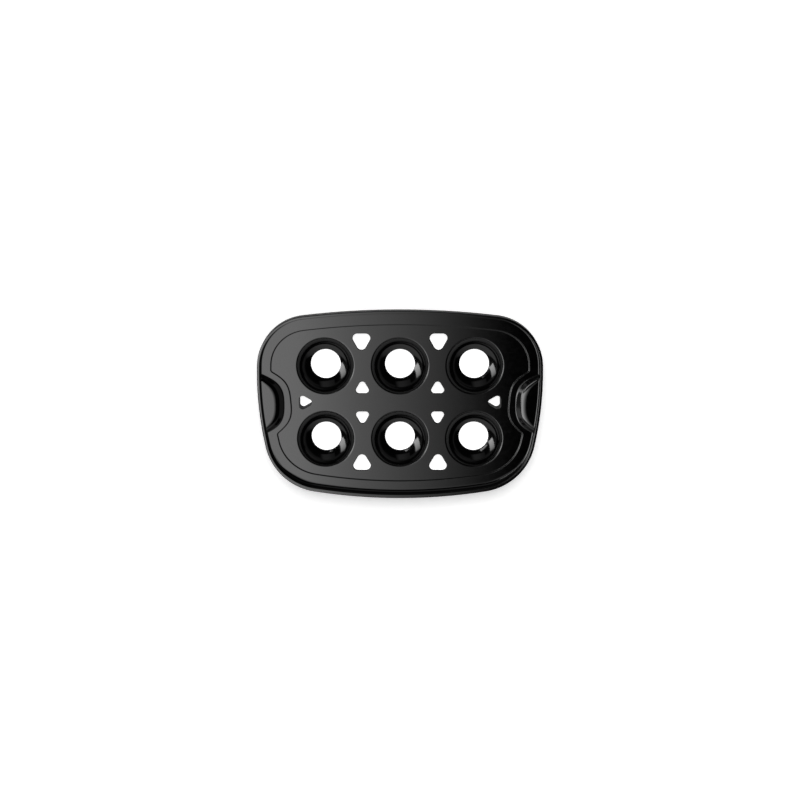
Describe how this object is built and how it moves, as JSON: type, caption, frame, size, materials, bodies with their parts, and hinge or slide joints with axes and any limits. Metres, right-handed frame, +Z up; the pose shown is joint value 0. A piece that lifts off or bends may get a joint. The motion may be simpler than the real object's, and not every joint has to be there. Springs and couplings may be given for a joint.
{
  "type": "egg tray",
  "caption": "Shallow moulded egg tray with open conical cups, three-sided steam vents, an upstanding rim and raised side grips, for steaming eggs in a countertop cooker.",
  "frame": {"origin": "below the middle of the tray's outline, on the plane that the cup collars and the two feet stand on", "axes": "+X along the tray from grip to grip, +Y towards its wide long side, +Z up out of the deck"},
  "size_m": [0.2058, 0.1378, 0.0196],
  "materials": {
    "tray": "glossy black moulded plastic"
  },
  "bodies": {
    "root": {"egg_tray": "tray"}
  },
  "joints": []
}
